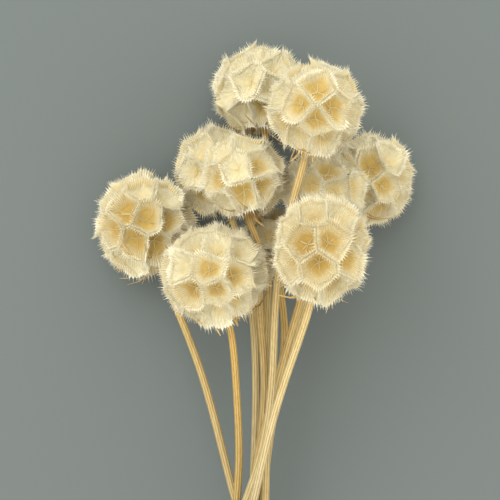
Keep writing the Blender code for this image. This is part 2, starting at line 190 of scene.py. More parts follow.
def first_ways(flower, count):
    """The ways of the front cups, then those of a spiral's points that are farthest from them."""
    places = [(x, y, math.sqrt(max(SEEN_RISE, 1 - x * x - y * y))) for x, y in flower["cups"]]
    seen = unit(np.array(places))
    # Each point of the spiral is turned by the golden angle from the one before
    turns = np.arange(count) * math.pi * (3 - math.sqrt(5))
    rise = 1 - (2 * np.arange(count) + 1) / count
    ring = np.sqrt(1 - rise**2)
    spread = np.stack([ring * np.cos(turns), ring * np.sin(turns), rise], 1)
    nearest = (spread @ seen.T).max(1)
    free = spread[np.argsort(nearest, kind="stable")[: count - len(seen)]]
    return np.concatenate([seen, free])


def cup_ways(flower):
    """Unit vectors from the head's middle to each cup, with the stem's own way last."""
    axis = flower["axis"]
    count = round(CUPS_ON_WIDEST * (flower["radius"] / WIDEST_RADIUS) ** 2)
    ways = first_ways(flower, count)
    held = np.arange(count) < len(flower["cups"])
    for i in range(CUP_ROUNDS):
        apart = ways[:, None] - ways[None]
        push = (apart / (np.linalg.norm(apart, axis=2, keepdims=True) ** 3 + CUP_SOFTNESS)).sum(1)
        from_stem = ways - axis
        distance = np.linalg.norm(from_stem, axis=1, keepdims=True)
        push += STEM_PUSH * from_stem / (distance**3 + CUP_SOFTNESS)
        push -= (push * ways).sum(1, keepdims=True) * ways
        step = CUP_STEP / count * (1 - i / CUP_ROUNDS)
        push = np.where(held[:, None], push * SEEN_HOLD, push)
        ways = unit(ways + push * step)
        off = np.arccos(np.clip(ways @ axis, -1, 1))
        side = unit(ways - (ways @ axis)[:, None] * axis)
        cleared = math.cos(STEM_CLEARING) * axis + math.sin(STEM_CLEARING) * side
        ways = np.where((off < STEM_CLEARING)[:, None], cleared, ways)
    return np.concatenate([ways, axis[None]])


for flower in HEADS.values():
    flower["ways"] = cup_ways(flower)
print("cups on each head:", {name: len(f["ways"]) - 1 for name, f in HEADS.items()})

# %% [markdown]
# ## Sheets that are bent into shape
#
# Cups, bristles, bracts, stems and strands of twine are all thin sheets, rolled up. Each could be
# drawn face by face, but a grid from Blender's own operator has its faces in order already. So one
# flat grid is made for each size of sheet, with u running round and v running along. Its points
# are moved to where a rule puts them, and it is added to the piece. Merging closes the seam later.

# %% Sheets
SHEETS = {}


def new_mesh(name, bm):
    """A mesh with all that bm holds. bm is freed."""
    mesh = bpy.data.meshes.new(name)
    bm.to_mesh(mesh)
    bm.free()
    return mesh


def sheet(around, rows, v_from, v_to):
    """A flat grid with its u and v, made once. v_from and v_to are what the paint sees along it."""
    key = (around, rows, v_from, v_to)
    if key not in SHEETS:
        bm = bmesh.new()
        bmesh.ops.create_grid(bm, x_segments=around, y_segments=rows, size=0.5)
        uv = bm.loops.layers.uv.new("paint")
        for face in bm.faces:
            for loop in face.loops:
                x, y, _ = loop.vert.co
                loop[uv].uv = (x + 0.5, v_from + (v_to - v_from) * (y + 0.5))
        mesh = new_mesh("sheet", bm)
        mesh.attributes.new("tint", "FLOAT", "POINT")
        flat = np.zeros(len(mesh.vertices) * 3)
        mesh.vertices.foreach_get("co", flat)
        flat = flat.reshape(-1, 3)
        column = np.rint((flat[:, 0] + 0.5) * around).astype(int) % around
        row = np.rint((flat[:, 1] + 0.5) * rows).astype(int)
        SHEETS[key] = (mesh, column, row)
    return SHEETS[key]


def add_sheet(bm, grid, v_from, v_to, tint=0):
    """Adds a sheet whose point in each row and column is grid[row, column]."""
    rows, around = grid.shape[0] - 1, grid.shape[1]
    mesh, column, row = sheet(around, rows, v_from, v_to)
    mesh.vertices.foreach_set("co", grid[row, column].ravel())
    mesh.attributes["tint"].data.foreach_set("value", np.full(len(mesh.vertices), tint))
    bm.from_mesh(mesh)


# %% [markdown]
# ## Tubes
#
# Stems, bristles, bracts and twine follow a bent line. A curve object with a bevel and a taper could
# do that, but thousands of them would have to be made meshes and joined. Here a ring of points is set
# round each point of the line. Each ring keeps the turn of the ring before it, so no tube twists.

# %% Rings round a path


def across(way):
    """Two directions square to a way and to each other."""
    right = unit(np.cross(np.eye(3)[np.abs(way).argmin()], way))
    return right, np.cross(way, right)


def evenly(path, step):
    """The same path with its points a step apart."""
    along = np.concatenate([[0], np.linalg.norm(np.diff(path, axis=0), axis=1).cumsum()])
    fine = np.linspace(0, along[-1], round(along[-1] / step))
    return np.stack([np.interp(fine, along, path[:, k]) for k in range(3)], 1)


def tube(path, radii, around, flat=1.0, face=None, ribs=0, depth=0.0):
    """Rings of points round a path, as a grid. flat under 1 presses the tube thin towards face."""
    along = unit(np.gradient(path, axis=0))
    if face is None:
        face = across(along[0])[0]
    angle = 2 * math.pi * np.arange(around) / around
    swell = 1 + depth * np.cos(ribs * angle)
    grid = []
    for point, way, radius in zip(path, along, radii):
        face = unit(face - (face @ way) * way)
        side = np.cross(way, face)
        round_it = np.outer(swell * np.cos(angle), side) + flat * np.outer(swell * np.sin(angle), face)
        grid.append(point + radius * round_it)
    return np.array(grid)


def closed_ends(path, grid):
    """The same tube with one more ring at each end, shrunk to the path's end point."""
    first, last = (np.repeat(path[[end]], grid.shape[1], axis=0)[None] for end in (0, -1))
    return np.concatenate([first, grid, last])


# %% [markdown]
# ## Finished pieces
#
# A piece starts as many loose sheets. Its seams are closed by merging the points that coincide, and
# then its faces are turned outwards, in this order, because a sheet with an open seam has no inside.
# Every head could be hundreds of objects, but one piece for each plain solid is easier to reuse.

# %% Finish a piece
SAME_SPOT = 1e-7
CREASE = math.radians(70)


def new_object(name, data):
    """An object with this data, put in the scene."""
    made = bpy.data.objects.new(name, data)
    bpy.context.scene.collection.objects.link(made)
    return made


def finish_piece(name, bm, material, node, smooth=True):
    """Closes the seams, turns the faces out and lets the piece stand for its plain solid."""
    bmesh.ops.remove_doubles(bm, verts=bm.verts[:], dist=SAME_SPOT)
    bmesh.ops.recalc_face_normals(bm, faces=bm.faces[:])
    mesh = new_mesh(name, bm)
    if smooth:
        mesh.shade_smooth()
        mesh.set_sharp_from_angle(angle=CREASE)
    mesh.materials.append(material)
    piece = new_object(name, mesh)
    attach(piece, "root")
    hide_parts(node)
    print(name, sum(len(face.vertices) - 2 for face in mesh.polygons), "triangles")


# %% [markdown]
# ## Colours and nodes
#
# Colours are written as they look on a screen, and one function turns them into the linear values
# that a shader works with. A node tree could be wired by hand in the editor. In a script, one small
# function that adds a node with its settings and links keeps each finish short enough to read.

# %% Colour and node helpers


def linear(code):
    """Linear red, green, blue and alpha of a colour such as #E6DFC0."""
    parts = [int(code[i:i + 2], 16) / 255 for i in (1, 3, 5)]
    return (*[p / 12.92 if p <= 0.04045 else ((p + 0.055) / 1.055) ** 2.4 for p in parts], 1)


def new_material(name, **sockets):
    """A material, its node tree and its shader, with the shader's own sockets set."""
    material = bpy.data.materials.new(name)
    material.use_nodes = True
    shader = material.node_tree.nodes["Principled BSDF"]
    for key, value in sockets.items():
        shader.inputs[key.replace("_", " ")].default_value = value
    return material, material.node_tree, shader


def add(tree, kind, settings=(), stops=(), **inputs):
    """Adds a node. An input is a number, a colour or the output that it is linked to, under its name
    or under i and its number. stops are the places and colour codes of a colour ramp."""
    node = tree.nodes.new(kind)
    for key, value in dict(settings).items():
        setattr(node, key, value)
    for key, value in inputs.items():
        numbered = key[0] == "i" and key[1:].isdigit()
        socket = node.inputs[int(key[1:]) if numbered else key.replace("_", " ")]
        if isinstance(value, bpy.types.NodeSocket):
            tree.links.new(value, socket)
        else:
            socket.default_value = value
    if stops:
        band = node.color_ramp.elements
        while len(band) > 1:
            band.remove(band[0])
        band[0].position = stops[0][0]
        band[0].color = linear(stops[0][1])
        for place, code in stops[1:]:
            band.new(place).color = linear(code)
    return node


def painted(tree, span, waves):
    """How far along the paint a point lies, from 0 to 1, and a wave that runs round its sheet."""
    uv = add(tree, "ShaderNodeUVMap", {"uv_map": "paint"}).outputs["UV"]
    split = add(tree, "ShaderNodeSeparateXYZ", Vector=uv)
    place = add(tree, "ShaderNodeMath", {"operation": "DIVIDE"}, i0=split.outputs["Y"], i1=span)
    spin = add(tree, "ShaderNodeMath", {"operation": "MULTIPLY"}, i0=split.outputs["X"],
               i1=2 * math.pi * waves)
    wave = add(tree, "ShaderNodeMath", {"operation": "COSINE"}, i0=spin.outputs[0])
    return place.outputs[0], wave.outputs[0]


MULTIPLY_COLOURS = {"data_type": "RGBA", "blend_type": "MULTIPLY"}
print("the ivory #EFEBD6 is", [round(p, 3) for p in linear("#EFEBD6")[:3]], "in linear light")

# %% [markdown]
# ## The papery cups' finish
#
# A ripe cup is a dry membrane, thinner than paper, on fine radial veins. Bleaching leaves it ivory at the
# rim and a warm straw gold in its depth, and the paint darkens that gold further towards the floor as
# painted shade of the hollow. It has no shine, and light goes through it, so its shaded side glows a
# little. Real translucency would need single faces without thickness. The cups are closed bodies, so weak
# subsurface scattering over half a millimetre gives that glow instead.
#
# The colour could be painted on an image. A ramp that runs along v follows every cup, whatever its shape,
# and needs no image. Here 0 to 1 is the inside from its middle to the rim, 1 to 1.4 the hairs, 2 to 3 the
# outside from the rim to the root, and 4 to 5 the bristles of the star. The outside turns darker and
# warmer tan towards the root: painted shade of the hollows between the cups, warmed like light that
# shines through the membrane.

# %% Papery membrane
PAINT_SPAN = 5.0
INSIDE_PAINT = (0.0, 1.0)
HAIR_PAINT = (1.0, 1.4)
OUTSIDE_PAINT = (2.0, 3.0)
STAR_PAINT = (4.0, 5.0)
CUP_AROUND = 96
# One vein on every other column. Real veins are finer, so these are as coarse as they need to show
VEINS = CUP_AROUND // 2
VEIN_GOLD = 0.24
# Mottling where the membrane is thicker or the bleach took less
MOTTLE_SIZE = 1.2 * MM
MOTTLE_GOLD = 0.22
VEIN_RELIEF = 0.12 * MM
GOLD_OVER_IVORY = "#D2C296"
# From 0 to 0.2 the inside's gold darkens towards the floor: partly the membrane's own colour, partly
# painted shade of the cup's hollow
CUP_COLOUR_AND_PAINTED_SHADE = [
    (0.0, "#D0B468"), (0.04, "#D8BF78"), (0.075, "#DEC98B"), (0.1, "#E5D5A4"), (0.12, "#EAE0BC"),
    # From 0.4 to 0.6 the outside is painted darker and warmer tan towards the root: painted shade between
    # the cups, warmed like light through the membrane
    (0.15, "#EDE7CC"), (0.2, "#EFEBD6"), (0.28, "#F0ECDA"), (0.40, "#ECE4C8"), (0.50, "#E0CF9E"),
    (0.60, "#C0A05E"), (0.8, "#F0E7BF"), (1.0, "#F3EDD2"),
]


def membrane_material():
    """Rough and hardly glossy, as dry plant skin is, so that only its folds and colour show."""
    material, tree, shader = new_material(
        "bleached_papery_membrane", Roughness=0.8, Specular_IOR_Level=0.25, Subsurface_Weight=0.35,
        Subsurface_Radius=(1.0, 0.93, 0.8), Subsurface_Scale=0.5 * MM)
    place, wave = painted(tree, PAINT_SPAN, VEINS)
    base = add(tree, "ShaderNodeValToRGB", stops=CUP_COLOUR_AND_PAINTED_SHADE, Fac=place)
    where = add(tree, "ShaderNodeTexCoord").outputs["Object"]
    blotch = add(tree, "ShaderNodeTexNoise", Vector=where, Scale=1 / MOTTLE_SIZE, Detail=3.0,
                 Roughness=0.6)
    # How much gold is laid over the ivory: from the mottling, the veins and the cup's tint, which is
    # partly its own colour and partly painted shade
    mottle = add(tree, "ShaderNodeMapRange", Value=blotch.outputs["Fac"], From_Min=0.35, From_Max=0.75,
                 To_Max=MOTTLE_GOLD)
    veins = add(tree, "ShaderNodeMath", {"operation": "MULTIPLY_ADD"}, i0=wave, i1=VEIN_GOLD,
                i2=mottle.outputs[0])
    tint = add(tree, "ShaderNodeAttribute", {"attribute_name": "tint"}).outputs["Fac"]
    laid = add(tree, "ShaderNodeMath", {"operation": "ADD", "use_clamp": True}, i0=veins.outputs[0],
               i1=tint)
    colour = add(tree, "ShaderNodeMix", MULTIPLY_COLOURS, Factor=laid.outputs[0],
                 i6=base.outputs["Color"], i7=linear(GOLD_OVER_IVORY))
    tree.links.new(colour.outputs[2], shader.inputs["Base Color"])
    relief = add(tree, "ShaderNodeMath", {"operation": "MULTIPLY_ADD"}, i0=wave, i1=0.5,
                 i2=blotch.outputs["Fac"])
    bump = add(tree, "ShaderNodeBump", Height=relief.outputs[0], Strength=0.55, Distance=VEIN_RELIEF)
    tree.links.new(bump.outputs["Normal"], shader.inputs["Normal"])
    return material


membrane = membrane_material()
print("made", membrane.name, "with", VEINS, "veins round each cup")

# %% [markdown]
# ## The mouth of a cup
#
# Each cup keeps the space that is nearer to it than to any other cup, so its mouth has four to seven
# sides with rounded corners, and neighbours meet rim to rim. Round cups would leave holes between
# them or cut through each other. For each column round the cup, the mouth reaches as far as halfway
# to the nearest neighbour on that side. A high power of the distances rounds its corners.

# %% The mouth of a cup
CORNER_SHARPNESS = 14
# The widest that a cup opens where it has no neighbour, in shares of its height
WIDEST_MOUTH = 0.5
# How flat a rim is, from 0 on the round ball to 1 in one plane
FLATNESS = 0.55
# Rims reach a little past their own space, so that they press against each other
RIM_SHARE = 1.08
# A cup that stands higher than its neighbours also spreads further over them
LIFT = 0.04
SPREAD = 1.6
# Waves of the rim: how many run round it, and how high they are in shares of the head's radius
FRILLS = ((1, 0.02), (2, 0.018), (3, 0.016), (5, 0.012), (8, 0.008))


def mouth(flower, i, draw):
    """A cup's own way and, for each column round it, the way out, the rim's reach and its height."""
    ways = flower["ways"]
    way = ways[i]
    right, up = across(way)
    others = np.delete(ways, i, 0)
    toward = np.arctan2(others @ up, others @ right)
    apart = np.arccos(np.clip(others @ way, -1, 1))
    theta = 2 * math.pi * np.arange(CUP_AROUND) / CUP_AROUND
    facing = np.maximum(np.cos(theta[:, None] - toward[None]), 0)
    near = np.concatenate([facing / np.tan(apart / 2), np.full((CUP_AROUND, 1), 1 / WIDEST_MOUTH)], 1)
    reach = (near**CORNER_SHARPNESS).sum(1) ** (-1 / CORNER_SHARPNESS)
    corner = reach.max()
    level = 1 - FLATNESS * (1 - np.sqrt((1 + reach**2) / (1 + corner**2)))
    for waves, size in FRILLS:
        level = level + size * np.sin(waves * theta + draw.uniform(0, 2 * math.pi))
    lift = draw.uniform(-LIFT, LIFT)
    height = flower["R"] * (level + lift) / np.sqrt(1 + reach**2)
    out = np.outer(np.cos(theta), right) + np.outer(np.sin(theta), up)
    return way, out, height * reach * (RIM_SHARE + SPREAD * lift), height


print("a cup without neighbours opens to", round(math.degrees(2 * math.atan(WIDEST_MOUTH))), "degrees")

# %% [markdown]
# ## The sheet of a cup
#
# A cup is a pleated funnel of one membrane. It could be a single layer of faces that a modifier makes
# thick, but at the sharp teeth and the narrow root that folds into itself. So one sheet makes the
# whole cup as a closed body: it starts in the middle of the floor, climbs the inside, turns over the
# rim and runs down the outside to the root. Its columns are pushed in and out in turn, which pleats
# it, and every other column ends in a tooth, because the rim tears between its veins.

# %% The sheet of a cup
# Heights in shares of the head's radius: the floor of a cup, and the core that all cups stand on
FLOOR_HEIGHT = 0.66
CORE_SHARE = 0.36
# Inside, from the middle of the floor to the rim: share of the depth, and share of the mouth's width
# in a cup that goes straight up and in one that flares wide
INSIDE = [(0, 0, 0), (0.03, 0.34, 0.18), (0.15, 0.56, 0.34), (0.42, 0.69, 0.50), (0.70, 0.80, 0.69),
          (0.90, 0.91, 0.87), (1.0, 1.0, 1.0)]
# Outside, from just below the rim down
OUTSIDE = [(0.78, 0.95, 0.86)]
# The root: share of the mouth's width, height in shares of the head's radius
ROOT = [(0.20, 0.36), (0, 0.30)]
PLEAT = 0.18 * MM
TOOTH = 1.0 * MM
NOTCH = 0.25 * MM
# How far the teeth turn up from the wall, and how unequal they are
TOOTH_RISE = 0.6
TOOTH_SIZES = (0.4, 1.4)
# Teeth grow longer and shorter round the rim in four to seven scallops
SCALLOPS = (4, 8)
SCALLOP_SIZE = 0.5
# How far the flare of a single cup strays from that of its head
FLARE_SPREAD = 0.4


def stretched(flower, spots):
    """Spots of a head after its stretch along Y: none on the core, all of it at the rims."""
    away = spots - flower["at"]
    share = (np.linalg.norm(away, axis=-1) / flower["R"] - CORE_SHARE) / (1 - CORE_SHARE)
    away[..., 1] *= 1 + (flower["tall"] - 1) * np.maximum(0, share)
    return flower["at"] + away


def cup_grid(flower, rim, draw):
    """Every point of a cup, row by row, from its floor's middle over the rim to its root."""
    way, out, reach, height = rim
    middle, radius = flower["at"], flower["R"]
    floor = FLOOR_HEIGHT * radius
    columns = np.arange(CUP_AROUND)
    odd = columns % 2 == 1
    pleat = np.where(odd, PLEAT, -PLEAT)
    flare = flower["flare"] + draw.uniform(-FLARE_SPREAD, FLARE_SPREAD)
    rows = []
    for deep, steep, wide_open in INSIDE + OUTSIDE:
        share = steep + (wide_open - steep) * min(1, flare)
        wide = share * reach + pleat * deep
        rise = floor + (height - floor) * deep - pleat * share**2
        rows.append(middle + np.outer(rise, way) + wide[:, None] * out)
    for share, low in ROOT:
        rows.append(middle + low * radius * way + (share * reach)[:, None] * out)
    edge = len(INSIDE) - 1
    climb = unit(unit(rows[edge] - rows[edge - 1]) + TOOTH_RISE * way)
    scallops = 1 + SCALLOP_SIZE * np.sin(draw.integers(*SCALLOPS) * 2 * math.pi * columns / CUP_AROUND)
    tooth = np.where(odd, TOOTH * scallops * draw.uniform(*TOOTH_SIZES, CUP_AROUND), -NOTCH)
    rows[edge] = rows[edge] + climb * tooth[:, None]
    return stretched(flower, np.array(rows))


print("a cup has", CUP_AROUND * 2 * (len(INSIDE) + len(OUTSIDE) + len(ROOT) - 1), "triangles")

# %% [markdown]
# ## Hairs on the rim
#
# The veins run on past the rim as fine hairs, so the edge of every cup is frayed, and more hairs lie
# along the upper wall. Blender's hair curves would be the usual way, but they don't survive when the
# piece leaves Blender, so each hair is a cone with three sides. One stands on every tooth of the rim
# and a slightly shorter one on every notch. Their lengths rise and fall round the rim, in lobes.
# Real hairs are finer and more. These are as coarse as they need to be to show.

# %% One hair
HAIR_LENGTH = 2.5 * MM
HAIR_RADIUS = 0.13 * MM
# How deep a hair is rooted in the membrane
HAIR_ROOT = 0.3 * MM


def cone():
    """A hair one unit long and one unit in radius, with its foot at zero."""
    bm = bmesh.new()
    bmesh.ops.create_cone(bm, cap_ends=True, segments=3, radius1=1, radius2=0, depth=1)
    bmesh.ops.remove_doubles(bm, verts=bm.verts[:], dist=1e-5)
    bmesh.ops.translate(bm, verts=bm.verts[:], vec=(0, 0, 0.5))
    uv = bm.loops.layers.uv.new("paint")
    foot, tip = HAIR_PAINT
    for face in bm.faces:
        for loop in face.loops:
            loop[uv].uv = (0.5, foot + (tip - foot) * loop.vert.co.z)
    mesh = new_mesh("hair", bm)
    mesh.attributes.new("tint", "FLOAT", "POINT")
    return mesh, np.array([v.co for v in mesh.vertices])


HAIR, HAIR_CORNERS = cone()


def add_hair(bm, foot, heading, length):
    right, up = across(heading)
    turned = HAIR_CORNERS @ np.stack([right * HAIR_RADIUS, up * HAIR_RADIUS, heading * length])
    HAIR.vertices.foreach_set("co", (foot - heading * HAIR_ROOT + turned).ravel())
    bm.from_mesh(HAIR)


print("a hair has", len(HAIR.polygons), "faces")

# %% The hairs of a cup
WALL_HAIRS = 290
# Wall hairs grow on this much of the wall below the rim, and a power over 1 crowds them towards it
WALL_SHARE = 0.5
WALL_CROWDING = 1.7
# Where a hair points: up the wall, out of the cup, anywhere by chance, and away from the cup's middle
HAIR_CLIMB = 0.75
HAIR_RISE = 0.4
HAIR_SCATTER = 0.13
HAIR_LEAN = (-0.1, 0.9)
# Shares of the full length: the mean, and what the lobes, the tufts and chance add or take
HAIR_MEAN = 0.64
LOBES = (3, 6)
LOBE_SIZE = 0.16
TUFTS = (9, 14)
TUFT_SIZE = 0.12
HAIR_CHANCE = 0.12
NOTCH_HAIR_SHARE = 0.95
# Where on its turn, in radians, a wave may start at most
ANY_START = 6


def hair_lengths(place, short, draw):
    """The lengths of hairs at places round a cup, those of the notches a little shorter."""
    angle = 2 * math.pi * place / CUP_AROUND
    lobes = np.sin(draw.integers(*LOBES) * angle + draw.uniform(0, ANY_START))
    tufts = np.sin(draw.integers(*TUFTS) * angle + draw.uniform(0, ANY_START))
    chance = draw.uniform(-HAIR_CHANCE, HAIR_CHANCE, len(place))
    share = HAIR_MEAN + LOBE_SIZE * lobes + TUFT_SIZE * tufts + chance
    return HAIR_LENGTH * np.where(short, share * NOTCH_HAIR_SHARE, share)


def add_hairs(bm, rim, grid, draw):
    """Stands the hairs of one cup on its rim and lays some along its upper wall."""
    way, out = rim[:2]
    count = CUP_AROUND + WALL_HAIRS
    on_rim = np.arange(count) < CUP_AROUND
    level = np.where(on_rim, 1.0, 1 - WALL_SHARE * draw.uniform(0, 1, count) ** WALL_CROWDING)
    place = np.where(on_rim, np.arange(count), draw.uniform(0, CUP_AROUND, count))
    near = place.astype(int) % CUP_AROUND
    after = (near + 1) % CUP_AROUND
    part = (place % 1)[:, None]
    top = len(INSIDE) - 1
    row = level * (top - 2) + 1
    low = np.minimum(row.astype(int), top - 1)
    up = (row + 1 - low)[:, None] - (level < 1)[:, None]

    def spot(rows):
        return grid[rows, near] * (1 - part) + grid[rows, after] * part

    foot = spot(low) * (1 - up) + spot(low + 1) * up
    climb = unit(grid[np.maximum(low, top - 2), near] - grid[np.maximum(low, top - 2) - 1, near])
    lean = draw.normal(0, HAIR_SCATTER, (count, 3)) + draw.uniform(*HAIR_LEAN, count)[:, None] * out[near]
    heading = unit(HAIR_CLIMB * climb + HAIR_RISE * way + lean)
    lengths = hair_lengths(place, on_rim & (near % 2 == 0), draw)
    for start, going, length in zip(foot, heading, lengths):
        add_hair(bm, start, going, length)


print("hairs on each cup:", CUP_AROUND + WALL_HAIRS)

# %% [markdown]
# ## The star in each cup
#
# Every cup holds one seed, crowned by five stiff bristles that spread like a star. They are pale and
# thin, and they arch up from the middle of the floor along the cup's side. Straight spikes would
# look like a printed star, so each bristle bows and hooks to one side by a different amount. Real
# ones are finer than these, which are as thick as they need to be to show.

# %% The star
BRISTLES = 5
BRISTLE_RADIUS = 0.2 * MM
BRISTLE_THINNING = 0.7
BRISTLE_STEPS = 8
BRISTLE_BEND = 3.6 * MM
# How far a bristle may stand from its even place, in columns of the cup
BRISTLE_STRAY = 4
# Its length in shares of the mouth's width, and its climb from foot to tip in shares of the depth
BRISTLE_LENGTHS = (0.6, 1.05)
BRISTLE_CLIMB = 0.75
# Where its foot is, in the same shares of the width and the depth
BRISTLE_FOOT = (0.03, 0.06)


def add_star(bm, flower, rim, draw):
    way, out, reach, height = rim
    floor = FLOOR_HEIGHT * flower["R"]
    first = draw.uniform(0, CUP_AROUND / BRISTLES)
    steps = np.linspace(0, 1, BRISTLE_STEPS)
    foot_out, foot_up = BRISTLE_FOOT
    for k in range(BRISTLES):
        stray = draw.uniform(-BRISTLE_STRAY, BRISTLE_STRAY)
        column = int(first + k * CUP_AROUND / BRISTLES + stray) % CUP_AROUND
        length = draw.uniform(*BRISTLE_LENGTHS)
        wide = (foot_out + length * steps) * reach[column]
        rise = floor + (height[column] - floor) * (foot_up + BRISTLE_CLIMB * steps**1.6)
        bow, hook = draw.uniform(-1, 1, 2)
        bend = BRISTLE_BEND * (0.5 * bow * np.sin(math.pi * steps) + hook * steps**2.5)
        side = np.cross(way, out[column])
        path = flower["at"] + np.outer(rise, way) + np.outer(wide, out[column]) + np.outer(bend, side)
        bristle = tube(stretched(flower, path), BRISTLE_RADIUS * (1 - BRISTLE_THINNING * steps), 3)
        add_sheet(bm, bristle, *STAR_PAINT)


print("a star has", BRISTLES, "bristles up to", BRISTLE_RADIUS * 2 / MM, "mm thick")

# %% [markdown]
# ## A whole head
#
# The cups stand on a small dry core. Some cups are golden inside and some almost white. On top of that,
# cups that face the lamp are painted paler, as painted light, and cups turned away from it keep more tan,
# as painted shade. One material could be mixed anew for each cup, but it is simpler to move the cup along
# the paint: a pale cup's inside starts further up along v, and a golden cup gets a tint of its own.

# %% Build the heads
# The side where the lamp is: cups that face it are painted paler as painted light, and the rest keep more
# tan as painted shade
LIT_SIDE = unit(np.array([-0.6, 0.8, 0.2]))
PAINTED_LIGHT_PALING = 0.3
PALE_SPREAD = 0.3
# Only so many grades of paleness, because each grade has a sheet of its own
PALE_STEPS = 4
PALEST_START = 0.5
DEEPEST_TINT = 0.35


def build_head(name, flower, seed):
    draw = np.random.default_rng(seed)
    bm = bmesh.new()
    edge = len(INSIDE)
    for i, way in enumerate(flower["ways"][:-1]):
        rim = mouth(flower, i, draw)
        grid = cup_grid(flower, rim, draw)
        # Painted light: a cup is made paler the more it faces the lamp
        paleness = flower["pale"] + PAINTED_LIGHT_PALING * way @ LIT_SIDE + draw.uniform(-PALE_SPREAD, PALE_SPREAD)
        if i in flower["golden"]:
            paleness = 0
        paleness = round(PALE_STEPS * min(1, max(0, paleness))) / PALE_STEPS
        tint = flower["tint"] + DEEPEST_TINT * (1 - paleness) * draw.uniform(0, 1) ** 2
        add_sheet(bm, grid[:edge], PALEST_START * paleness, INSIDE_PAINT[1], tint)
        add_sheet(bm, grid[edge - 1:], *OUTSIDE_PAINT, tint)
        add_hairs(bm, rim, grid, draw)
        add_star(bm, flower, rim, draw)
    core = bmesh.ops.create_icosphere(bm, subdivisions=2, radius=CORE_SHARE * flower["R"])
    bmesh.ops.translate(bm, verts=core["verts"], vec=Vector(flower["at"]))
    # The core takes the outside's root colour, the darkest painted shade
    uv = bm.loops.layers.uv.verify()
    for v in core["verts"]:
        for loop in v.link_loops:
            loop[uv].uv = (0.5, OUTSIDE_PAINT[1])
    finish_piece("seed_head_" + name, bm, membrane, "head_" + name, smooth=False)


for seed, (name, flower) in enumerate(HEADS.items()):
    build_head(name, flower, seed)

# %% [markdown]
# ## The stems' finish
#
# A dried stem is straw: a hollow, ribbed stalk, grey-beige at its cut end and more golden under the head.
# Its ribs are pale and dull, its grooves stay browner, and fine streaks run along it. The bracts below
# the head dry to a golden tan. The top of the stem and the bracts lie in the shade of the heads, and
# their paint is made lighter there, as painted light. A wave texture could paint lines too, but its bands
# don't follow the ribs of a bent stem, so the grooves are painted along u, where the ribs are, and the
# streaks are noise that is drawn out along the bunch. The paint runs along v: 0 to 1 is the stem from its
# cut end to the head, 2 to 3 a bract.

# %% Ribbed straw
RIBS = 8
STRAW_SPAN = 3.0
STEM_PAINT = (0.0, 1.0)
BRACT_PAINT = (2.0, 3.0)
STREAK_WIDTH = 0.5 * MM
STREAK_LENGTH = 9 * MM
STREAK_RELIEF = 0.1 * MM
GROOVE_BROWN = 0.75
BROWN_OVER_STRAW = "#C4AA7C"
# Lighter near the top of the stem (0.27 to 0.33) and on the bracts (0.66 to 1): painted light against the
# shade of the heads above them
STRAW_AND_PAINTED_LIGHT_ALONG_STEM = [
    (0.0, "#CAC0A2"), (0.2, "#CBC1A1"), (0.27, "#D6C79C"), (0.33, "#EAD8A6"), (0.66, "#E0C68E"),
    (0.85, "#DCC080"), (1.0, "#E2CC9A"),
]
# Each stem and bract has a tone of its own
STRAW_TONES = [(0.0, "#FFFDF4"), (0.5, "#F8EFD6"), (1.0, "#EAD8AA")]


def straw_material():
    """Dull with a faint waxy sheen along the ribs, as straw has."""
    material, tree, shader = new_material("dry_ribbed_straw", Roughness=0.6, Specular_IOR_Level=0.35)
    place, rib = painted(tree, STRAW_SPAN, RIBS)
    base = add(tree, "ShaderNodeValToRGB", stops=STRAW_AND_PAINTED_LIGHT_ALONG_STEM, Fac=place)
    groove = add(tree, "ShaderNodeMapRange", Value=rib, From_Min=0.1, From_Max=-1.0,
                 To_Max=GROOVE_BROWN)
    where = add(tree, "ShaderNodeTexCoord").outputs["Object"]
    drawn_out = add(tree, "ShaderNodeMapping", Vector=where,
                    Scale=(1 / STREAK_WIDTH, 1 / STREAK_LENGTH, 1 / STREAK_WIDTH))
    streak = add(tree, "ShaderNodeTexNoise", Vector=drawn_out.outputs[0], Scale=1.0, Detail=3.0)
    marks = add(tree, "ShaderNodeMath", {"operation": "MULTIPLY_ADD"}, i0=streak.outputs["Fac"], i1=1.2,
                i2=-0.45)
    laid = add(tree, "ShaderNodeMath", {"operation": "ADD", "use_clamp": True}, i0=groove.outputs[0],
               i1=marks.outputs[0])
    colour = add(tree, "ShaderNodeMix", MULTIPLY_COLOURS, Factor=laid.outputs[0],
                 i6=base.outputs["Color"], i7=linear(BROWN_OVER_STRAW))
    tint = add(tree, "ShaderNodeAttribute", {"attribute_name": "tint"}).outputs["Fac"]
    tone = add(tree, "ShaderNodeValToRGB", stops=STRAW_TONES, Fac=tint)
    toned = add(tree, "ShaderNodeMix", MULTIPLY_COLOURS, Factor=1.0, i6=colour.outputs[2],
                i7=tone.outputs["Color"])
    tree.links.new(toned.outputs[2], shader.inputs["Base Color"])
    bump = add(tree, "ShaderNodeBump", Height=streak.outputs["Fac"], Strength=0.4,
               Distance=STREAK_RELIEF)
    tree.links.new(bump.outputs["Normal"], shader.inputs["Normal"])
    return material


straw = straw_material()
print("made", straw.name, "with", RIBS, "ribs")

# %% [markdown]
# ## The line of a stem
#
# A stem bends on its way from the head to the tie. Its line could be drawn again by hand, but it
# has to lie inside its plain solid, so it is measured there: the solid's corners stand in rings about
# 13 mm apart, and the middle of each ring is a point of the line. Smoothing takes the corners out.

# %% Measure the stems
STEM_STEP = 3 * MM
RING_GAP = 3 * MM
SMOOTHING_ROUNDS = 12
# The last points of the line lie inside the head, in shares of its radius
STEM_TOP = (0.8, 0.6, CORE_SHARE)


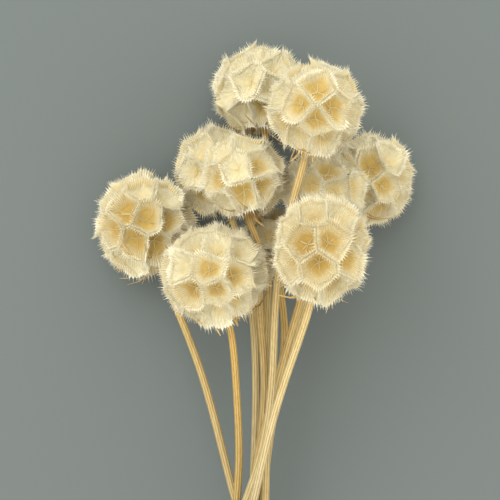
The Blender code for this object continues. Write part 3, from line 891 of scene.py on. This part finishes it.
def stem_line(name, flower):
    """The middle line of a plain stem, from its cut end up into its head."""
    corners = np.array([v.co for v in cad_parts["stem_" + name].data.vertices])
    spots = np.unique(corners.round(6), axis=0)
    spots = spots[np.linalg.norm(spots - flower["at"], axis=1) > flower["R"]]
    spots = spots[spots[:, 1].argsort()]
    rings = np.split(spots, np.nonzero(np.diff(spots[:, 1]) > RING_GAP)[0] + 1)
    points = [ring.mean(0) for ring in rings]
    points += [flower["at"] + flower["axis"] * flower["R"] * share for share in STEM_TOP]
    line = evenly(np.array(points), STEM_STEP)
    for _ in range(SMOOTHING_ROUNDS):
        line[1:-1] = (line[:-2] + 2 * line[1:-1] + line[2:]) / 4
    return line


for name, flower in HEADS.items():
    flower["line"] = stem_line(name, flower)
steps = {name: np.diff(f["line"], axis=0) for name, f in HEADS.items()}
print("stems in mm:", {name: round(np.linalg.norm(s, axis=1).sum() / MM) for name, s in steps.items()})

# %% [markdown]
# ## A bract
#
# Under the head, a whorl of thin bracts bends back from the collar. They once wrapped the flower bud
# and have dried to narrow curled shreds. A bract could be one flat blade turned round the stem, but
# no two dry alike, so each has its own length, spread, curl and sway, by chance.

# %% The path of a bract
BRACT_STEPS = 8
# From where to where a bract reaches, in shares of the head's radius from its middle
BRACT_FOOT = 0.40
BRACT_REACH = (0.95, 1.36)
# How far it leans from the stem, in degrees
BRACT_SPREAD = (12, 38)
# How far its tip curls out, and how far it sways round the stem, in radians
BRACT_CURL = (-0.3, 0.8)
BRACT_SWAY = 0.6


def bract_path(flower, turn, draw):
    """A thread that leaves the collar, runs down beside the stem and bends away from it."""
    right, up = across(flower["axis"])
    steps = np.linspace(0, 1, BRACT_STEPS)
    far = draw.uniform(*BRACT_REACH)
    spread = math.radians(draw.uniform(*BRACT_SPREAD))
    curl = draw.uniform(*BRACT_CURL)
    reach = BRACT_FOOT + (far - BRACT_FOOT) * steps
    lean = spread * (0.5 + 0.5 * steps) + curl * steps**3
    turns = turn + draw.uniform(-BRACT_SWAY, BRACT_SWAY) * steps**2
    side = np.outer(np.cos(turns), right) + np.outer(np.sin(turns), up)
    ways = np.cos(lean)[:, None] * flower["axis"] + np.sin(lean)[:, None] * side
    return flower["at"] + flower["R"] * reach[:, None] * ways, side[0]


print("bracts lean", BRACT_SPREAD[0], "to", BRACT_SPREAD[1], "degrees from their stem")

# %% [markdown]
# ## A stem with its bracts
#
# The stem is a tube along its line, with eight ribs that stand out by a few hundredths of its
# radius. Ribs could be left to the material, but then the cut end of a stem would be round. It thins
# a little towards the head, as a grown stalk does.

# %% Build the stems
STEM_RADIUS = 1.62 * MM
RIB_DEPTH = 0.07
# How much thinner a stem is under its head than at its cut end
TAPER = 0.22
STEM_AROUND = 32
# A stem is nowhere quite even: it swells by this share, in a wave of this many radians
SWELL = 0.02
SWELL_WAVE = 9
STEM_SEED = 100
BRACTS = 20
BRACT_AROUND = 6
BRACT_HALF_WIDTH = 0.9 * MM
BRACT_FLATNESS = 0.35
BRACT_OUTLINE = np.array([1, 1.1, 1.1, 1, 0.9, 0.75, 0.5, 0.2])
BRACT_SIZES = (0.7, 1.2)
# How far a bract strays from its even place, in shares of the gap between two
BRACT_STRAY = 0.25
DARKEST_BRACT = 0.5


def build_stem(name, flower, seed):
    draw = np.random.default_rng(seed)
    bm = bmesh.new()
    line = flower["line"]
    wave = np.linspace(0, SWELL_WAVE, len(line)) + draw.uniform(0, ANY_START)
    radii = STEM_RADIUS * (1 + SWELL * np.sin(wave))
    radii *= 1 - TAPER * np.linspace(0, 1, len(line)) ** 2
    stalk = tube(line, radii, STEM_AROUND, ribs=RIBS, depth=RIB_DEPTH)
    add_sheet(bm, closed_ends(line, stalk), *STEM_PAINT, draw.uniform(0, 1))
    for k in range(BRACTS):
        turn = 2 * math.pi * (k + draw.uniform(-BRACT_STRAY, BRACT_STRAY)) / BRACTS
        path, side = bract_path(flower, turn, draw)
        widths = BRACT_HALF_WIDTH * draw.uniform(*BRACT_SIZES) * BRACT_OUTLINE
        bract = tube(path, widths, BRACT_AROUND, flat=BRACT_FLATNESS, face=side)
        add_sheet(bm, closed_ends(path, bract), *BRACT_PAINT, draw.uniform(0, DARKEST_BRACT))
    finish_piece("ribbed_stem_" + name, bm, straw, "stem_" + name)


for seed, (name, flower) in enumerate(HEADS.items()):
    build_stem(name, flower, STEM_SEED + seed)

# %% [markdown]
# ## The twine's finish
#
# The bunch is tied with thin jute twine, rough plant fibre that is dull, hairy and tan. An even brown
# would look like plastic cord, so a fine noise, as coarse as a few fibres, varies both its colour and
# its surface.

# %% Jute fibre
FIBRE_SIZE = 0.4 * MM
FIBRE_RELIEF = 0.15 * MM
JUTE_TANS = [(0.3, "#8E7047"), (0.5, "#B39262"), (0.75, "#CFB48A")]


def jute_material():
    """Very rough and without gloss, as raw fibre is."""
    material, tree, shader = new_material("twisted_jute_fibre", Roughness=0.9, Specular_IOR_Level=0.2)
    where = add(tree, "ShaderNodeTexCoord").outputs["Object"]
    fibre = add(tree, "ShaderNodeTexNoise", Vector=where, Scale=1 / FIBRE_SIZE, Detail=4.0,
                Roughness=0.7).outputs["Fac"]
    colour = add(tree, "ShaderNodeValToRGB", stops=JUTE_TANS, Fac=fibre)
    tree.links.new(colour.outputs["Color"], shader.inputs["Base Color"])
    bump = add(tree, "ShaderNodeBump", Height=fibre, Strength=0.7, Distance=FIBRE_RELIEF)
    tree.links.new(bump.outputs["Normal"], shader.inputs["Normal"])
    return material


jute = jute_material()
print("made", jute.name)

# %% [markdown]
# ## Two strands of twine
#
# The twine is two strands twisted together. A single cord with slanted grooves in its material would
# do from afar, but the twist shows in the outline, so both strands are modelled. Each one winds round
# the middle of the twine on the opposite side from the other.

# %% Twisted strands
STRAND_RADIUS = 0.45 * MM
STRAND_OFFSET = 0.4 * MM
STRAND_AROUND = 6
# The length of one whole twist
TWIST = 3.4 * MM
TWINE_STEP = 0.34 * MM
TWINE_PAINT = (0.0, 1.0)


def add_twine(bm, path):
    """Two strands twisted round a path."""
    path = evenly(path, TWINE_STEP)
    along = unit(np.gradient(path, axis=0))
    right = across(along[0])[0]
    sides = []
    for way in along:
        right = unit(right - (right @ way) * way)
        sides.append(right)
    sides = np.array(sides)
    ups = np.cross(along, sides)
    turn = 2 * math.pi * TWINE_STEP / TWIST * np.arange(len(path))
    for start in (0, math.pi):
        swing = np.cos(turn + start)[:, None] * sides + np.sin(turn + start)[:, None] * ups
        strand = path + STRAND_OFFSET * swing
        grid = tube(strand, np.full(len(strand), STRAND_RADIUS), STRAND_AROUND)
        add_sheet(bm, closed_ends(strand, grid), *TWINE_PAINT)


print("the twine is", round(2 * (STRAND_OFFSET + STRAND_RADIUS) / MM, 1), "mm thick")

# %% [markdown]
# ## The tie
#
# Three taut turns lie side by side round the waist of the bunch, with a knot on top. Taut twine runs
# straight from one outer stem to the next, so a round ring would hang in the air. For each direction
# round the waist, the loop here touches the stem that lies farthest out. The knot is a trefoil, the
# simplest closed knot, opened at one place, where its two cut ends leave.

# %% Build the tie
TWINE_TURNS = 3
TWINE_PITCH = 1.75 * MM
TIE_CLEARANCE = 1.1 * MM
LOOP_POINTS = 145
KNOT_WIDTH = 1.05 * MM
KNOT_RISE = 1.6 * MM
# How much of the knot's line is left open at either end, in radians
KNOT_OPENING = 0.35
KNOT_POINTS = 60
# How far the knot's crossings lie over and under each other, in shares of its width
KNOT_DEPTH = 0.8
END_LENGTH = 12 * MM
END_POINTS = 12
# Both cut ends leave towards the stems' cut ends and a little down, one on either side
END_WAYS = ((0.35, -1, -0.12), (-0.45, -1, -0.12))


def loop_round_stems(y):
    """The taut loop round the stems at a height y, starting on top."""
    spots = []
    for flower in HEADS.values():
        line = flower["line"]
        spots.append([np.interp(y, line[:, 1], line[:, 0]), y, np.interp(y, line[:, 1], line[:, 2])])
    spots = np.array(spots)
    angle = math.pi / 2 + np.linspace(0, 2 * math.pi, LOOP_POINTS)
    ways = np.stack([np.cos(angle), np.zeros(len(angle)), np.sin(angle)], 1)
    farthest = spots[(spots @ ways.T).argmax(0)]
    return farthest + ways * (STEM_RADIUS + TIE_CLEARANCE)


def knot_path(spot):
    """An open trefoil on a spot, with a cut end leaving each of its two ends."""
    t = np.linspace(KNOT_OPENING, 2 * math.pi - KNOT_OPENING, KNOT_POINTS)
    over = np.sin(t) + 2 * np.sin(2 * t)
    along = np.cos(t) - 2 * np.cos(2 * t)
    under = -KNOT_DEPTH * np.sin(3 * t)
    knot = spot + (0, 0, KNOT_RISE) + np.stack([over, along, under], 1) * KNOT_WIDTH
    reach = np.linspace(0.1, 1, END_POINTS)[:, None] * END_LENGTH
    first, last = (end + reach * unit(np.array(way)) for end, way in zip((knot[0], knot[-1]), END_WAYS))
    return np.concatenate([first[::-1], knot, last])


def build_tie():
    bm = bmesh.new()
    loop = evenly(loop_round_stems(TIE_Y * MM + shift.mean(0)[1]), TWINE_STEP)
    turns = np.tile(loop[:-1], (TWINE_TURNS, 1))
    turns[:, 1] += np.linspace(-0.5, 0.5, len(turns)) * TWINE_PITCH * TWINE_TURNS
    for part, path in (("turns", turns), ("knot and ends", knot_path(loop[0]))):
        add_twine(bm, path)
        print("twine in the", part, round(np.linalg.norm(np.diff(path, axis=0), axis=1).sum() / MM), "mm")
    finish_piece("twisted_twine", bm, jute, "tie")


build_tie()

# %% [markdown]
# ## The floor
#
# The bunch lies on a plain, matt, cool grey board. A backdrop could curve up behind it, but the view
# from above sees only the flat part. So it is one large square, with no edge in sight and no texture
# that could draw the eye from the bunch.

# %% Floor
FLOOR_REACH = 3.0

floor_bm = bmesh.new()
bmesh.ops.create_grid(floor_bm, x_segments=1, y_segments=1, size=FLOOR_REACH)
floor_mesh = new_mesh("floor", floor_bm)
floor = new_object("floor", floor_mesh)
board = new_material("matt_board", Base_Color=linear("#666E6E"), Roughness=0.9)[0]
floor_mesh.materials.append(board)
print("made", board.name, 2 * FLOOR_REACH, "m wide")

# %% [markdown]
# ## The light
#
# The photo has soft light from the upper left and no hard shadow. A small lamp would cut dark edges
# into every cup, so one lamp of 1.6 m stands above the heads on the left, and an even, warm white
# sky fills the shadows.

# %% Light
LAMP_SIZE = 1.6
LAMP_POWER = 19
LAMP_PLACE = Vector((-0.6, 0.8, 1.8))
SKY_STRENGTH = 1.54

origin = Vector((*shift.mean(0), 0))
lamp = bpy.data.lights.new("soft_box", "AREA")
lamp.size = LAMP_SIZE
lamp.energy = LAMP_POWER
lamp.color = (1.0, 1.0, 0.985)
lamp_object = new_object("soft_box", lamp)
lamp_object.location = origin + LAMP_PLACE
lamp_object.rotation_euler = (-LAMP_PLACE).to_track_quat("-Z", "Y").to_euler()

world = bpy.data.worlds.new("studio")
bpy.context.scene.world = world
world.use_nodes = True
sky = world.node_tree.nodes["Background"]
sky.inputs["Color"].default_value = linear("#F6F3E9")
sky.inputs["Strength"].default_value = SKY_STRENGTH
bpy.context.scene.view_settings.view_transform = "Standard"
print("lamp of", LAMP_POWER, "W and sky of strength", SKY_STRENGTH)

# %% [markdown]
# ## The camera
#
# The photo shows the bunch upright and cropped at its stems. Here it lies down, so the camera looks
# straight down from 900 mm above the middle height of the heads. Its view is 200 mm wide there, which
# is what the photo shows. A closer, wider lens could show as much, but it would draw the front heads
# too large.

# %% Camera
SEEN_HEIGHT = 40 * MM
CAMERA_DISTANCE = 900 * MM
PHOTO_WIDTH = 200 * MM

camera = bpy.data.cameras.new("camera")
camera.angle = 2 * math.atan(PHOTO_WIDTH / 2 / CAMERA_DISTANCE)
camera_object = new_object("camera", camera)
camera_object.location = origin + Vector((0, 0, CAMERA_DISTANCE + SEEN_HEIGHT))
bpy.context.scene.camera = camera_object
print("field of view:", round(math.degrees(camera.angle), 1), "degrees")
